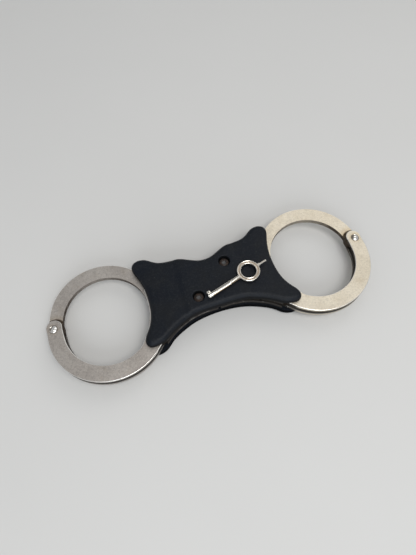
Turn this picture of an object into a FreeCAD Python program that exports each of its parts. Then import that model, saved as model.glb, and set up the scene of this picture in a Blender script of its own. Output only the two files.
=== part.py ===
import FreeCAD, Part
import math
import os
from FreeCAD import Vector

os.makedirs("parts", exist_ok=True)

# Rigid-bar handcuffs, closed, lying on the flat underside of the grip.
# Frame: +Z up, z = 0 on the bottom cover's flat face, x = 0 midway between
# the two cuffs, y = 0 through both wrist-opening centres.  The single strands
# lie on the +Y side, the double (cheek-plate) arms on the -Y side.

# ---------------- driving dimensions, mm ----------------
RING_X = 75.0            # wrist-opening centre from the middle of the grip
R_IN, R_OUT = 29.4, 39.9  # cheek-plate ring, inner and outer radius
PIV = (110.4, 6.1)       # hinge rivet of the single strand
LUG_A = 11.6             # angle round the ring at which the lug's cap is centred
LUG_OUT = 0.9            # how far the cap's centre lies outside the ring's middle line
LUG_OUT_A, LUG_IN_A = 2.0, -3.0   # where the ring's two arcs end and the lug's own edge begins
ZB0, ZB1 = 6.2, 8.6      # lower cheek plate
ZT0, ZT1 = 12.4, 14.8    # upper cheek plate
ZS0, ZS1 = 8.75, 12.25   # strand, pawl and lock bar, 0.15 clear of both plates
COVER_TOP = 21.3         # top of the raised middle panel
WING_DROP = 0.8          # the panels either side of the middle are lower
PANEL_X = 21.0           # half width of the raised middle panel
EDGE_R_TOP = 3.2         # rounding along the top cover's edge
EDGE_R_BOT = 2.6
WALL = 2.4               # moulded cover wall
SCREW = (12.45, 9.9)     # screw holes, +/- about (0, SCREW_YC)
SCREW_YC = 5.5
RHO_TIP, RHO_ROOT = 71.6, 70.65   # strand teeth, radii about the hinge rivet
PITCH = 2.32             # tooth pitch, degrees about the rivet
TOOTH_A0, TOOTH_N = -12.6, 14     # first tooth, count
TIP_A = 21.2             # strand's free end
RHO_CLEAR = 72.1         # nothing fixed between the plates inside this radius
PAWL_PIV = (34.4, 18.0)
KEYHOLE = (33.4, -13.0)
SHANK_R = 1.9            # hinge rivet shank
RIVETS = [(18.5, -8.3), (18.5, 19.5), (27.3, 22.7), (38.3, 28.0), (39.8, -20.4), (25.0, -11.8)]
RIVET_R = 1.7

# top cover outline, right half, from the far side round the cuff side to the near side
OUTLINE = [(0, 22.3), (3.5, 22.6), (6.2, 23.5), (9.1, 24.8), (12.2, 26.3), (15.2, 27.7), (18.7, 28.6),
           (22.1, 28.9), (25.9, 29.2), (29.4, 29.7), (32.5, 30.8), (35.9, 33.0), (39.1, 35.3), (42.9, 36.5),
           (47.0, 36.1), (49.9, 33.7), (50.4, 30.2), (49.4, 26.9), (47.6, 21.9), (46.2, 16.0), (45.4, 10.4), (45.3, 5.5),
           (45.5, 0.1), (46.2, -4.8), (47.8, -10.2), (50.0, -14.4), (52.4, -17.9), (54.0, -21.1), (54.0, -24.4),
           (52.0, -26.6), (48.5, -27.1), (44.9, -26.6), (41.7, -25.6), (38.2, -23.6), (31.6, -19.7),
           (26.4, -17.4), (20.2, -15.3), (13.5, -14.3), (7.0, -14.1), (0, -14.1)]
# the bottom cover is a little narrower at the waist and longer at its near corners
LOWER_OUTLINE = [(0, 20.9), (3.8, 21.3), (6.7, 22.3), (9.8, 23.7), (12.8, 25.2), (15.6, 26.5), (19.0, 27.3),
                 (22.3, 27.7), (26.1, 28.0), (29.7, 28.3), (33.1, 29.5), (36.7, 31.9), (39.8, 33.9), (43.0, 34.8),
                 (46.4, 34.3), (48.8, 32.5), (49.3, 30.2), (48.5, 27.2), (46.8, 22.1), (45.5, 16.2), (44.5, 10.6), (44.1, 5.5),
                 (44.2, 0), (44.9, -5.1), (46.5, -10.6), (48.6, -15.1), (51.3, -18.7), (53.5, -21.6), (54.2, -24.8),
                 (52.5, -28.0), (48.8, -29.1), (44.8, -28.5), (41.2, -26.7), (38.1, -24.0), (31.7, -19.8),
                 (26.4, -17.4), (20.2, -15.1), (13.7, -13.6), (7.1, -12.8), (0, -12.5)]


def V(x, y, z=0.0):
    return Vector(float(x), float(y), float(z))


def mirror_x(shape):
    return shape.mirror(V(0, 0, 0), V(1, 0, 0))


def cyl(x, y, z0, z1, r):
    return Part.makeCylinder(r, z1 - z0, V(x, y, z0))


def poly(points, z0, z1):
    w = Part.makePolygon([V(x, y, z0) for x, y in points] + [V(points[0][0], points[0][1], z0)])
    return Part.Face(w).extrude(V(0, 0, z1 - z0))


def spline_edge(points, z, periodic=False, t0=None, t1=None):
    c = Part.BSplineCurve()
    pts = [V(x, y, z) for x, y in points]
    if periodic:
        c.interpolate(Points=pts, PeriodicFlag=True)
    elif t0 is not None:
        c.interpolate(Points=pts, InitialTangent=V(*t0), FinalTangent=V(*t1))
    else:
        c.interpolate(Points=pts)
    return c.toShape()


def spline_prism(points, z0, z1):
    return Part.Face(Part.Wire([spline_edge(points, z0, True)])).extrude(V(0, 0, z1 - z0))


def both_halves(half):
    return half + [(-x, y) for x, y in reversed(half) if x > 0.01]


def resample(points, n):
    c = Part.BSplineCurve()
    c.interpolate(Points=[V(x, y) for x, y in points], PeriodicFlag=True)
    return [(p.x, p.y) for p in c.toShape().discretize(n + 1)[:-1]]


def inset(points, d, n=72):
    p = resample(points, n)
    area = sum(p[i - 1][0] * p[i][1] - p[i][0] * p[i - 1][1] for i in range(n))
    s = 1.0 if area > 0 else -1.0
    out = []
    for i in range(n):
        (ax, ay), (bx, by) = p[i - 1], p[(i + 1) % n]
        l = math.hypot(bx - ax, by - ay)
        tx, ty = (bx - ax) / l, (by - ay) / l
        out.append((p[i][0] - s * ty * d, p[i][1] + s * tx * d))
    return out


def edges_at(shape, z, keep=lambda e: True):
    out = []
    for e in shape.Edges:
        bb = e.BoundBox
        if abs(bb.ZMin - z) < 1e-4 and abs(bb.ZMax - z) < 1e-4 and keep(e):
            out.append(e)
    return out


def rounded(shape, r, zs, keep=lambda e: True):
    """Break the sharp edges lying in the planes zs; falls back to what will take it."""
    es = [e for z in zs for e in edges_at(shape, z, keep)]
    try:
        s = shape.makeFillet(r, es)
        if s.isValid() and len(s.Solids) == 1:
            return s
    except Exception:
        pass
    for z in zs:
        try:
            s = shape.makeChamfer(r * 0.8, edges_at(shape, z, keep))
            if s.isValid() and len(s.Solids) == 1:
                shape = s
        except Exception as err:
            print("edge break left out at z", z, err)
    return shape


def polar(cx, cy, r, deg):
    return cx + r * math.cos(math.radians(deg)), cy + r * math.sin(math.radians(deg))


def about_pivot(rho, a):
    """Point at radius rho from the hinge rivet; a in degrees, 0 towards the grip, + towards -Y."""
    return PIV[0] - rho * math.cos(math.radians(a)), PIV[1] - rho * math.sin(math.radians(a))


def solid(shape):
    shape = shape.removeSplitter() if len(shape.Faces) > 1 else shape
    if shape.ShapeType != "Solid" and len(shape.Solids) == 1:
        shape = shape.Solids[0]
    return shape


def save(name, shapes):
    """Write one node; each listed solid stays a separate solid."""
    if not isinstance(shapes, (list, tuple)):
        shapes = [shapes]
    out = []
    for s in shapes:
        out += s.Solids
    for s in out:
        if not s.isValid():
            print("INVALID", name)
    shape = out[0] if len(out) == 1 else Part.makeCompound(out)
    shape.exportStep("parts/%s.step" % name)
    bb = shape.BoundBox
    print("%-28s solids %2d vol %9.2f  x %7.2f %7.2f y %7.2f %7.2f z %6.2f %6.2f" % (
        name, len(out), shape.Volume, bb.XMin, bb.XMax, bb.YMin, bb.YMax, bb.ZMin, bb.ZMax))


def save_pair(name, shape):
    save("right_" + name, shape)
    save("left_" + name, [mirror_x(s) for s in (shape if isinstance(shape, (list, tuple)) else [shape])])


# ---------------- cheek plates ----------------
CASE = [(45.45, -26.96), (41.2, -24.9), (37.6, -22.4), (31.6, -18.5), (26.5, -16.1), (20.3, -13.8), (13.5, -12.5),
        (6.0, -12.0), (0.0, -11.8), (-6.0, -8.0), (-8.0, 4.0), (-6.0, 16.0), (0.0, 19.2), (5.2, 19.9), (9.2, 21.3), (13.0, 23.3),
        (19.0, 25.4), (26, 26.1), (30.2, 26.6), (34.0, 28.2), (37.4, 30.4), (40.6, 32.0), (43.4, 32.6), (45.8, 32.1),
        (47.0, 30.2), (46.9, 27.2), (46.2, 22), (46.1, 16.5), (46.3, 11.6), (46.2, 5.7), (46.4, -0.7), (47.6, -6.9), (49.8, -12.2),
        (52.5, -16.7), (55.2, -20.6), (58.57, -24.37)]


def ring_arc(r, a0, a1, z):
    am = (a0 + a1) / 2.0
    return Part.Arc(*[V(*polar(RING_X, 0, r, a), z) for a in (a0, am, a1)]).toShape()


def cheek_plate(z0, z1):
    a_out = math.degrees(math.atan2(CASE[0][1], CASE[0][0] - RING_X)) % 360
    a_in = math.degrees(math.atan2(CASE[-1][1], CASE[-1][0] - RING_X)) % 360
    r_out = math.hypot(CASE[0][0] - RING_X, CASE[0][1])
    r_in = math.hypot(CASE[-1][0] - RING_X, CASE[-1][1])
    # the lug stands a little proud of the ring's outer edge and a little short of its inner one
    rw = (r_out - r_in) / 2.0
    rc = r_in + rw + LUG_OUT
    lug = polar(RING_X, 0, rc, LUG_A)
    f_out, f_in = LUG_A - 20.0, LUG_A + 175.0
    c_out, c_in = polar(*lug, rw, f_out), polar(*lug, rw, f_in)
    e1 = ring_arc(r_out, a_out, 360 + LUG_OUT_A, z0)
    e2 = Part.Arc(V(*c_out, z0), V(*polar(*lug, rw, (f_out + f_in) / 2.0), z0), V(*c_in, z0)).toShape()
    e3 = ring_arc(r_in, 360 + LUG_IN_A, a_in, z0)
    e5 = spline_edge([polar(RING_X, 0, r_out, LUG_OUT_A), c_out], z0, False,
                     tuple(4 * v for v in (-math.sin(math.radians(LUG_OUT_A)), math.cos(math.radians(LUG_OUT_A)), 0)),
                     tuple(4 * v for v in (-math.sin(math.radians(f_out)), math.cos(math.radians(f_out)), 0)))
    e6 = spline_edge([c_in, polar(RING_X, 0, r_in, LUG_IN_A)], z0, False,
                     tuple(6 * v for v in (-math.sin(math.radians(f_in)), math.cos(math.radians(f_in)), 0)),
                     tuple(6 * v for v in (math.sin(math.radians(LUG_IN_A)), -math.cos(math.radians(LUG_IN_A)), 0)))
    # the inner arc runs clockwise into the case, the outer arc leaves it anticlockwise
    pts = list(reversed(CASE))
    to = (-math.sin(math.radians(a_out)), math.cos(math.radians(a_out)), 0)
    ti = (math.sin(math.radians(a_in)), -math.cos(math.radians(a_in)), 0)
    e4 = spline_edge(pts, z0, False, tuple(4 * v for v in ti), tuple(4 * v for v in to))
    w = Part.Wire(Part.__sortEdges__([e1, e5, e2, e6, e3, e4]))
    plate = Part.Face(w).extrude(V(0, 0, z1 - z0))
    plate = plate.cut(Part.makeBox(20, 80, 10, V(0.75 - 20, -40, z0 - 3)))
    plate = rounded(plate, 0.55, [z0, z1])
    for x, y in RIVETS:
        plate = plate.cut(cyl(x, y, z0 - 1, z1 + 1, RIVET_R))
    plate = plate.cut(cyl(PIV[0], PIV[1], z0 - 1, z1 + 1, SHANK_R))
    plate = plate.cut(cyl(PAWL_PIV[0], PAWL_PIV[1], z0 - 1, z1 + 1, 1.2))
    plate = plate.cut(cyl(SCREW[0], SCREW_YC + SCREW[1], z0 - 1, z1 + 1, 1.9))
    plate = plate.cut(cyl(SCREW[0], SCREW_YC - SCREW[1], z0 - 1, z1 + 1, 1.9))
    return plate


top_plate = cheek_plate(ZT0, ZT1).cut(cyl(KEYHOLE[0], KEYHOLE[1], 0, 30, 1.0))
bottom_plate = cheek_plate(ZB0, ZB1).cut(cyl(KEYHOLE[0], KEYHOLE[1], 0, 30, 2.1))
bottom_plate = bottom_plate.cut(Part.makeBox(1.7, 4.4, 10, V(KEYHOLE[0] - 0.85, KEYHOLE[1] - 4.4, 0)))
save_pair("cheek_plate_top", solid(top_plate))
save_pair("cheek_plate_bottom", solid(bottom_plate))

# ---------------- single strand ----------------


def tooth_points():
    """Saw-tooth edge from the free end back towards the smooth part: (rho, a) pairs, a falling."""
    out = []
    for i in range(TOOTH_N - 1, -1, -1):
        a = TOOTH_A0 + i * PITCH
        out += [(RHO_ROOT, a + PITCH - 0.26), (RHO_TIP, a + 0.34), (RHO_TIP, a + 0.10)]
    out.append((RHO_ROOT, a - 0.25))
    return out


S_IN_C, S_IN_R = (75.43, 5.2), 29.15
S_OUT_C, S_OUT_R = (76.1, 7.3), 37.3


def strand():
    z0, z1 = ZS0, ZS1
    teeth = [about_pivot(r, a) for r, a in tooth_points()]
    start = teeth[-1]
    # smooth outer edge: from the last root round the far side to the rivet end
    a_s = math.degrees(math.atan2(start[1] - S_OUT_C[1], start[0] - S_OUT_C[0])) % 360
    a_join = a_s - 14
    join = polar(*S_OUT_C, S_OUT_R, a_join)
    mid = ((start[0] + join[0]) / 2 - 0.35, (start[1] + join[1]) / 2 + 0.3)
    end_c = (109.0, 6.35)
    a_end = math.degrees(math.atan2(end_c[1] - S_OUT_C[1], end_c[0] - S_OUT_C[0])) + 4.0
    o_end = polar(*S_OUT_C, S_OUT_R, a_end)
    i_end = polar(*S_IN_C, S_IN_R, math.degrees(math.atan2(end_c[1] - S_IN_C[1], end_c[0] - S_IN_C[0])) + 4.0)
    edges = []
    tip_out = about_pivot(RHO_TIP - 0.2, TIP_A - 0.6)
    tip_mid = about_pivot(68.4, TIP_A + 1.2)
    tip_in = about_pivot(64.6, TIP_A - 0.6)
    pts = [tip_out] + teeth
    for a, b in zip(pts, pts[1:]):
        edges.append(Part.makeLine(V(*a, z0), V(*b, z0)))
    tang = (math.sin(math.radians(a_join)), -math.cos(math.radians(a_join)), 0)
    edges.append(spline_edge([start, mid, join], z0, False, (0.35, 1.0, 0), tang))
    edges.append(Part.Arc(V(*join, z0), V(*polar(*S_OUT_C, S_OUT_R, (a_join + a_end) / 2), z0), V(*o_end, z0)).toShape())
    cap = (110.0, 1.75)
    edges.append(Part.Arc(V(*o_end, z0), V(*cap, z0), V(*i_end, z0)).toShape())
    # inner edge: ring circle back to the grip side, then flush with the cheek plates
    a_i0 = math.degrees(math.atan2(i_end[1] - S_IN_C[1], i_end[0] - S_IN_C[0]))
    a_i1 = 183.0
    p_i1 = polar(*S_IN_C, S_IN_R, a_i1)
    edges.append(Part.Arc(V(*i_end, z0), V(*polar(*S_IN_C, S_IN_R, (a_i0 + a_i1) / 2), z0), V(*p_i1, z0)).toShape())
    t_i = (-math.sin(math.radians(a_i1)), math.cos(math.radians(a_i1)), 0)
    inner = [p_i1, (47.4, -4.0), (49.3, -10.2), tip_in]
    edges.append(spline_edge(inner, z0, False, tuple(3 * v for v in t_i), (3.0, -4.6, 0)))
    edges.append(Part.Arc(V(*tip_in, z0), V(*tip_mid, z0), V(*tip_out, z0)).toShape())
    w = Part.Wire(Part.__sortEdges__(edges))
    s = Part.Face(w).extrude(V(0, 0, z1 - z0))
    for z in (z0, z1):
        for lo, hi in ((60, 200), (30, 60)):
            for e in edges_at(s, z, lambda e: lo < e.Length <= hi):
                try:
                    t = s.makeChamfer(0.45, [e])
                    if t.isValid() and len(t.Solids) == 1:
                        s = t
                        break
                except Exception as err:
                    print("strand edge left square", round(e.Length, 1), err)
    s = s.fuse(cyl(PIV[0], PIV[1], z0, z1, 4.1)).removeSplitter()
    return s.cut(cyl(PIV[0], PIV[1], z0 - 1, z1 + 1, SHANK_R + 0.05))


save_pair("single_strand", solid(strand()))

# ---------------- hinge rivet ----------------
shank = cyl(PIV[0], PIV[1], ZB0, ZT1, SHANK_R)
DOME_R, DOME_H = 2.6, 0.95
sph = (DOME_R ** 2 + DOME_H ** 2) / (2 * DOME_H)
up = Part.makeSphere(sph, V(PIV[0], PIV[1], ZT1 + DOME_H - sph)).common(cyl(PIV[0], PIV[1], ZT1, ZT1 + 3, DOME_R))
dn = Part.makeSphere(sph, V(PIV[0], PIV[1], ZB0 - DOME_H + sph)).common(cyl(PIV[0], PIV[1], ZB0 - 3, ZB0, DOME_R))
save_pair("pivot_rivet", solid(shank.fuse([up, dn])))

# ---------------- lock block: spacer that carries the lock between the plates ----------------
BLOCK = [(23.0, -13.9), (31.4, -17.9), (37.2, -21.6), (41.0, -24.1), (45.2, -25.9), (47.5, -26.0), (47.5, 31.0),
         (43.2, 31.7), (40.7, 31.1), (37.7, 29.6), (34.3, 27.5), (30.4, 25.9), (26.0, 25.4), (23.0, 25.2)]
block = poly(BLOCK, ZB1, ZT0).cut(cyl(PIV[0], PIV[1], 0, 30, RHO_CLEAR))
POCKET = [(26.6, -7.0), (27.2, -8.4), (27.2, -15.3), (31.0, -16.9), (34.2, -17.7), (37.9, -16.6), (48, -14.0), (48, 21.4),
          (30.0, 21.4), (30.0, 17.6), (26.6, 17.6)]
block = block.cut(poly(POCKET, 0, 30))
block = block.cut(Part.makeCylinder(0.95, 16.0, V(28.4, -22.5, 10.5), V(0, 1, 0)))      # way in for the pin that sets the lock bar
block = block.cut(Part.makeBox(0.40, 2.4, 3.2, V(30.55, 21.0, 8.9)))                     # slot that holds the pawl spring
for x, y in RIVETS[2:]:
    block = block.cut(cyl(x, y, 0, 30, RIVET_R))
block = max(block.Solids, key=lambda s: s.Volume) if len(block.Solids) > 1 else block
save_pair("lock_block", solid(block))

# ---------------- pawl ----------------
A_TEETH = [TOOTH_A0 + i * PITCH for i in (7, 8, 9)]   # the three roots the pawl drops into
C_R, C_A = 0.12, 0.13


def pawl():
    right = [about_pivot(RHO_TIP + 0.5, -7.5), about_pivot(RHO_TIP + 0.5, A_TEETH[0] - PITCH - 0.4),
             about_pivot(RHO_TIP + C_R, A_TEETH[0] - PITCH + 0.10)]
    for a in A_TEETH:
        right += [about_pivot(RHO_TIP + C_R, a - PITCH + 0.42), about_pivot(RHO_ROOT + C_R, a - 0.25 - C_A - 0.06),
                  about_pivot(RHO_TIP + C_R, a + 0.10 - C_A)]
    right.append(about_pivot(RHO_TIP + 0.35, a + 0.5))
    last = about_pivot(RHO_TIP + 0.4, a + 0.9)
    left = [last, (34.6, -7.0), (31.9, -9.8), (31.2, -11.5), (31.2, -15.0), (29.9, -15.0), (29.9, -9.4), (32.0, -5.2),
            (32.0, -0.9), (33.8, -0.7), (33.8, 3.2), (32.0, 3.4), (32.0, 13.5), (31.75, 17.2), (33.0, 18.5), (37.0, 18.5), (37.0, 15.5)]
    s = poly(right + left, ZS0, ZS1)
    s = s.fuse(cyl(PAWL_PIV[0], PAWL_PIV[1], ZS0, ZS1, 2.7)).removeSplitter()
    return s.cut(cyl(PAWL_PIV[0], PAWL_PIV[1], 0, 30, 1.25))


save_pair("pawl", solid(pawl()))
save_pair("pawl_pin", cyl(PAWL_PIV[0], PAWL_PIV[1], ZB0, ZT1, 1.2))

# leaf spring: clamped in the lock block, bears on the pawl's back
LEAF = [(30.75, 23.2), (30.75, 20.5), (30.85, 17.5), (31.2, 13.0), (31.68, 9.6), (31.55, 8.6)]


def leaf():
    p = LEAF
    n = len(p)
    a, b = [], []
    for i in range(n):
        q0, q1 = p[max(i - 1, 0)], p[min(i + 1, n - 1)]
        l = math.hypot(q1[0] - q0[0], q1[1] - q0[1])
        nx, ny = -(q1[1] - q0[1]) / l, (q1[0] - q0[0]) / l
        a.append((p[i][0] + nx * 0.18, p[i][1] + ny * 0.18))
        b.append((p[i][0] - nx * 0.18, p[i][1] - ny * 0.18))
    z = 9.0
    e = [spline_edge(a, z), Part.makeLine(V(*a[-1], z), V(*b[-1], z)), spline_edge(list(reversed(b)), z), Part.makeLine(V(*b[0], z), V(*a[0], z))]
    return Part.Face(Part.Wire(Part.__sortEdges__(e))).extrude(V(0, 0, 3.0))


save_pair("pawl_spring", solid(leaf()))

# double-lock bar: slides +Y behind the pawl
bar = Part.makeBox(2.8, 15.7, ZS1 - ZS0, V(26.8, -4.7, ZS0))
bar = bar.fuse(Part.makeBox(2.4, 2.8, ZS1 - ZS0, V(29.4, 0.0, ZS0))).removeSplitter()
bar = bar.cut(cyl(26.6, 8.2, 0, 30, 0.7))   # detent notch
save_pair("double_lock_bar", solid(bar))

# key post: the key's hollow barrel turns on it
post = cyl(KEYHOLE[0], KEYHOLE[1], 6.5, ZT1, 1.0)
post = rounded(post, 0.3, [6.5])
save_pair("key_post", solid(post))

# ---------------- centre bar between the two cuffs ----------------
BAR = [(-22.7, -11.6), (-20.0, -11.3), (-13.5, -10.3), (0, -9.8), (13.5, -10.3), (20.0, -11.3), (22.7, -11.6),
       (22.7, 23.6), (19.0, 23.4), (13.0, 21.0), (9.2, 19.0), (5.0, 17.6), (0, 17.2), (-5.0, 17.6), (-9.2, 19.0), (-13.0, 21.0), (-19.0, 23.4), (-22.7, 23.6)]
cbar = poly(BAR, ZB1, ZT0)
cbar = rounded(cbar, 0.3, [ZB1, ZT0])
for sx in (1, -1):
    for x, y in RIVETS[:2]:
        cbar = cbar.cut(cyl(sx * x, y, 0, 30, RIVET_R))
for sx in (1, -1):
    cbar = cbar.cut(cyl(sx * SCREW[0], SCREW_YC + sx * SCREW[1], 0, 30, 1.9))
save("centre_bar", solid(cbar))

# ---------------- frame rivets ----------------
fr = []
for x, y in RIVETS:
    r = cyl(x, y, ZB0, ZT1, RIVET_R)
    hr, hh = 2.5, 0.7
    sr = (hr ** 2 + hh ** 2) / (2 * hh)
    r = r.fuse([Part.makeSphere(sr, V(x, y, ZT1 + hh - sr)).common(cyl(x, y, ZT1, ZT1 + 2, hr)),
                Part.makeSphere(sr, V(x, y, ZB0 - hh + sr)).common(cyl(x, y, ZB0 - 2, ZB0, hr))])
    fr += [solid(r), mirror_x(solid(r))]
save("frame_rivets", fr)

# ---------------- grip covers ----------------
outline = both_halves(OUTLINE)
lower_outline = both_halves(LOWER_OUTLINE)
in1 = inset(outline, WALL)
screws = [(SCREW[0], SCREW_YC + SCREW[1]), (-SCREW[0], SCREW_YC - SCREW[1])]


def ribs(z0, z1):
    out = []
    for x in (-30.0, -5.0, 5.0, 30.0):
        out.append(Part.makeBox(1.2, 90, z1 - z0, V(x - 0.6, -45, z0)))
    out.append(Part.makeBox(92, 1.2, z1 - z0, V(-46, 4.9, z0)))
    return out


def top_cover():
    z0 = ZT1
    s = spline_prism(outline, z0, COVER_TOP)
    # side panels step down past a soft crease each side of the middle panel
    for sx in (1, -1):
        w = [(PANEL_X, COVER_TOP + 1), (PANEL_X, COVER_TOP + 0.001), (PANEL_X + 3.0, COVER_TOP - WING_DROP), (60, COVER_TOP - WING_DROP), (60, COVER_TOP + 1)]
        f = Part.Face(Part.makePolygon([V(sx * x, -50, z) for x, z in w + w[:1]]))
        s = s.cut(f.extrude(V(0, 110, 0)))
    es = [e for e in s.Edges if e.BoundBox.ZMin > COVER_TOP - WING_DROP - 0.01 and e.BoundBox.ZMax <= COVER_TOP + 0.01]
    # rim edges only: those whose ends and middle lie on the outline's wall
    wall = spline_prism(outline, z0, COVER_TOP + 1)
    rim = []
    for e in es:
        m = e.valueAt((e.FirstParameter + e.LastParameter) / 2)
        if min(f.distToShape(Part.Vertex(m))[0] for f in [Part.Shell([g for g in wall.Faces if abs(g.normalAt(0.1, 0.1).z) < 0.5])]) < 1e-3:
            rim.append(e)
    done = False
    for r in (EDGE_R_TOP, 2.8, 2.2, 1.6):
        try:
            t = s.makeFillet(r, rim)
            if t.isValid() and len(t.Solids) == 1:
                s, done = t, True
                print("top cover rim radius", r)
                break
        except Exception as err:
            print("rim radius", r, "refused", err)
    if not done:
        print("top cover rim left square")
    hollow = spline_prism(in1, z0 - 1, COVER_TOP - WING_DROP - 2.3)
    for b in ribs(z0 + 1.2, COVER_TOP):
        hollow = hollow.cut(b)
    for x, y in screws:
        hollow = hollow.cut(cyl(x, y, z0 - 1, COVER_TOP, 5.7))
    s = s.cut(hollow)
    for x, y in screws:
        s = s.cut(cyl(x, y, 0, 30, 1.9)).cut(cyl(x, y, 16.7, 30, 4.25))
    return s


def bottom_cover():
    z1 = ZB0
    s = spline_prism(lower_outline, 0, z1)
    for r in (EDGE_R_BOT, 2.0, 1.4):
        try:
            t = s.makeFillet(r, edges_at(s, 0))
            if t.isValid() and len(t.Solids) == 1:
                s = t
                print("bottom cover rim radius", r)
                break
        except Exception as err:
            print("bottom rim radius", r, "refused", err)
    hollow = spline_prism(inset(lower_outline, WALL), 2.3, z1 + 1)
    for b in ribs(0, z1 - 1.2):
        hollow = hollow.cut(b)
    for x, y in screws:
        hollow = hollow.cut(cyl(x, y, 0, z1 + 2, 5.4))
    for sx in (1, -1):
        hollow = hollow.cut(cyl(sx * KEYHOLE[0], KEYHOLE[1], 0, z1 + 2, 6.2).cut(cyl(sx * KEYHOLE[0], KEYHOLE[1], z1 - 0.9, z1 + 2, 8)))
    s = s.cut(hollow)
    for x, y in screws:
        s = s.cut(cyl(x, y, -1, 30, 1.9))
        hexa = [polar(x, y, 3.15 / math.cos(math.radians(30)), 60 * k + 30) for k in range(6)]
        s = s.cut(poly(hexa, -1, 4.4))
    for sx in (1, -1):
        s = s.cut(cyl(sx * KEYHOLE[0], KEYHOLE[1], -1, 30, 4.6))
    return s


top, bottom = top_cover(), bottom_cover()
for sx in (1, -1):
    for x, y in RIVETS:      # room for the rivet heads
        top = top.cut(cyl(sx * x, y, ZT1 - 1, ZT1 + 1.1, 2.9))
        bottom = bottom.cut(cyl(sx * x, y, ZB0 - 1.1, ZB0 + 1, 2.9))
save("grip_top_cover", solid(top))
save("grip_bottom_cover", solid(bottom))

# ---------------- grip screws and nuts ----------------
sc, nu = [], []
for x, y in screws:
    b = cyl(x, y, 1.9, 16.7, 1.75)
    head = cyl(x, y, 16.7, 18.7, 3.35)
    dome = Part.makeSphere(6.11, V(x, y, 19.7 - 6.11)).common(cyl(x, y, 18.7, 20, 3.35))
    b = b.fuse([head, dome])
    hexa = [polar(x, y, 1.5 / math.cos(math.radians(30)), 60 * k) for k in range(6)]
    b = b.cut(poly(hexa, 17.9, 22))
    sc.append(solid(b))
    hexa = [polar(x, y, 3.0 / math.cos(math.radians(30)), 60 * k + 30) for k in range(6)]
    nu.append(solid(poly(hexa, 1.6, 4.4).cut(cyl(x, y, 0, 6, 1.75))))
save("grip_screws", sc)
save("grip_nuts", nu)

# ---------------- key, lying on the top cover ----------------
KEY_TIP = (-6.3, -7.6)
KEY_DIR = 16.2           # degrees from +X
BARREL_R = 1.6
KEY_Z = COVER_TOP + 1.75 + 0.03


def key():
    L = 24.9                                  # barrel, tip to ring
    ring_c, ring_ro, ring_ri, ring_t = 32.7, 7.9, 5.3, 2.4
    b = Part.makeCylinder(BARREL_R, L + 0.6, V(0, 0, 0), V(1, 0, 0))
    b = b.fuse(Part.makeBox(2.4, 1.7 + BARREL_R, 1.5, V(0.15, 0, -0.75)))          # bit
    b = b.cut(Part.makeCylinder(1.08, 9.0, V(-1, 0, 0), V(1, 0, 0)))               # hollow end
    b = b.fuse(Part.makeCylinder(1.75, 1.2, V(16.8, 0, 0), V(1, 0, 0)))             # small collar on the barrel
    ring = Part.makeCylinder(ring_ro, ring_t, V(ring_c, 0, -ring_t / 2)).cut(Part.makeCylinder(ring_ri, ring_t + 2, V(ring_c, 0, -ring_t / 2 - 1)))
    ring = rounded(ring, 0.55, [-ring_t / 2, ring_t / 2])
    neck = Part.makeCylinder(1.15, 2.5, V(ring_c + ring_ro - 0.7, 0, 0), V(1, 0, 0))
    pin = Part.makeCylinder(0.75, 7.9, V(ring_c + ring_ro - 0.7, 0, 0), V(1, 0, 0))
    k = b.fuse([ring, neck, pin]).removeSplitter()
    k.rotate(V(0, 0, 0), V(0, 0, 1), KEY_DIR)
    k.translate(V(KEY_TIP[0], KEY_TIP[1], KEY_Z))
    return k


save("key", solid(key()))
print("done")
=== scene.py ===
import math
import bpy
import bmesh
import numpy as np
from mathutils import Vector, Matrix
from mathutils.geometry import delaunay_2d_cdt


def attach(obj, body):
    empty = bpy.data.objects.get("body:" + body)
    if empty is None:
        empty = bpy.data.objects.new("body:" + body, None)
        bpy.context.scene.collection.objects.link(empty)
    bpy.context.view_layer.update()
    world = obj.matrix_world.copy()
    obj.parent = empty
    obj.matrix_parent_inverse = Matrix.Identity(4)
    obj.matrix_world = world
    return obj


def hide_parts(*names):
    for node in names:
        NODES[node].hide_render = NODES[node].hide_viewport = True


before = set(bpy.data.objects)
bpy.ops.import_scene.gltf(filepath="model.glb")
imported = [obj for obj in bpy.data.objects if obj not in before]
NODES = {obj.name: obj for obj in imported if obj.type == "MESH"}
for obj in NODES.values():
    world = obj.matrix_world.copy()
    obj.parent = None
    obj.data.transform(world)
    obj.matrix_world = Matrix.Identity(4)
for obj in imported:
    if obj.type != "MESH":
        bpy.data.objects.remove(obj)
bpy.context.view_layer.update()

MM = 0.001

# ------------------------------------------------------------------ dimensions, mm (as in the CAD)
RING_X, R_IN, R_OUT = 75.0, 29.4, 39.9
PIV = (110.4, 6.1)
ZB0, ZB1, ZT0, ZT1 = 6.2, 8.6, 12.4, 14.8
COVER_TOP = 21.3
SCREWS = [(12.45, 15.4), (-12.45, -4.4)]
KEYHOLE = (33.4, -13.0)
OUTLINE = [(0, 22.3), (3.5, 22.6), (6.2, 23.5), (9.1, 24.8), (12.2, 26.3), (15.2, 27.7), (18.7, 28.6),
           (22.1, 28.9), (25.9, 29.2), (29.4, 29.7), (32.5, 30.8), (35.9, 33.0), (39.1, 35.3), (42.9, 36.5),
           (47.0, 36.1), (49.9, 33.7), (50.4, 30.2), (49.4, 26.9), (47.6, 21.9), (46.2, 16.0), (45.4, 10.4), (45.3, 5.5),
           (45.5, 0.1), (46.2, -4.8), (47.8, -10.2), (50.0, -14.4), (52.4, -17.9), (54.0, -21.1), (54.0, -24.4),
           (52.0, -26.6), (48.5, -27.1), (44.9, -26.6), (41.7, -25.6), (38.2, -23.6), (31.6, -19.7),
           (26.4, -17.4), (20.2, -15.3), (13.5, -14.3), (7.0, -14.1), (0, -14.1)]
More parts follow.
